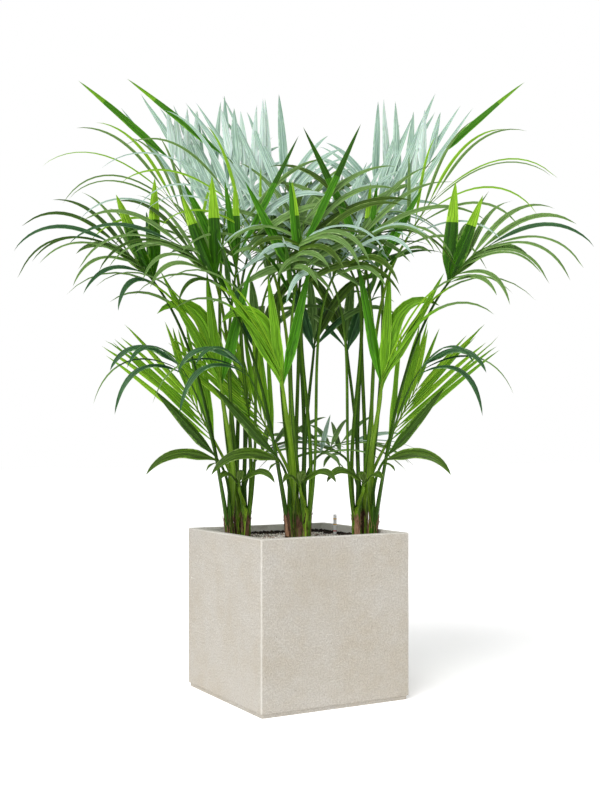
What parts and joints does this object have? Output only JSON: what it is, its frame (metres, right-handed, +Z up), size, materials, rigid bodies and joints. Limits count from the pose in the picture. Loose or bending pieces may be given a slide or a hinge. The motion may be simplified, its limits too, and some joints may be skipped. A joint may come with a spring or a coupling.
{
  "type": "potted kentia palm",
  "caption": "Kentia palms with arching feathered fronds on short fibrous stems, growing from a bed of small pebbles in a square cast planter. It stands on the planter's flat underside.",
  "frame": {"origin": "centre of the planter's flat underside", "axes": "+Z up, X and Y square to the planter's sides"},
  "size_m": [1.4613, 1.2605, 1.9038],
  "materials": {
    "concrete": "matt, finely sanded, with small pits",
    "soil": "matt and crumbly",
    "gravel": "matt",
    "gauge": "satin",
    "stem": "matt and fibrous",
    "leaf_dark": "satin",
    "leaf_light": "satin",
    "leaf_grey": "satin",
    "leaf_blue": "satin"
  },
  "bodies": {
    "root": {"pot": "concrete", "soil": "soil", "gravel": "gravel", "water_gauge": "gauge", "stem_left_outer": "stem", "stem_left_inner": "stem", "stem_left_rear": "stem", "stem_centre_outer": "stem", "stem_centre_inner": "stem", "stem_centre_rear": "stem", "stem_right_outer": "stem", "stem_right_inner": "stem", "stem_right_rear": "stem", "frond_left_tall": "leaf_grey", "frond_left_wing": "leaf_dark", "frond_left_strap": "leaf_dark", "frond_left_ribbon": "leaf_light", "frond_left_bouquet": "leaf_dark", "frond_left_arcs": "leaf_light", "frond_left_plume": "leaf_grey", "frond_left_feather": "leaf_light", "frond_left_hook": "leaf_blue", "frond_left_sweep": "leaf_dark", "frond_left_low": "leaf_light", "frond_left_side": "leaf_blue", "frond_left_under": "leaf_grey", "frond_left_high": "leaf_dark", "frond_left_back": "leaf_dark", "frond_centre_tall": "leaf_grey", "frond_centre_wing": "leaf_dark", "frond_centre_strap": "leaf_dark", "frond_centre_ribbon": "leaf_light", "frond_centre_bouquet": "leaf_dark", "frond_centre_arcs": "leaf_light", "frond_centre_plume": "leaf_grey", "frond_centre_feather": "leaf_light", "frond_centre_hook": "leaf_blue", "frond_centre_sweep": "leaf_dark", "frond_centre_low": "leaf_light", "frond_centre_side": "leaf_blue", "frond_centre_under": "leaf_grey", "frond_centre_high": "leaf_dark", "frond_centre_back": "leaf_dark", "frond_right_tall": "leaf_grey", "frond_right_wing": "leaf_dark", "frond_right_strap": "leaf_dark", "frond_right_ribbon": "leaf_light", "frond_right_bouquet": "leaf_dark", "frond_right_arcs": "leaf_light", "frond_right_plume": "leaf_grey", "frond_right_feather": "leaf_light", "frond_right_hook": "leaf_blue", "frond_right_sweep": "leaf_dark", "frond_right_low": "leaf_light", "frond_right_side": "leaf_blue", "frond_right_under": "leaf_grey", "frond_right_high": "leaf_dark", "frond_right_back": "leaf_dark"}
  },
  "joints": []
}
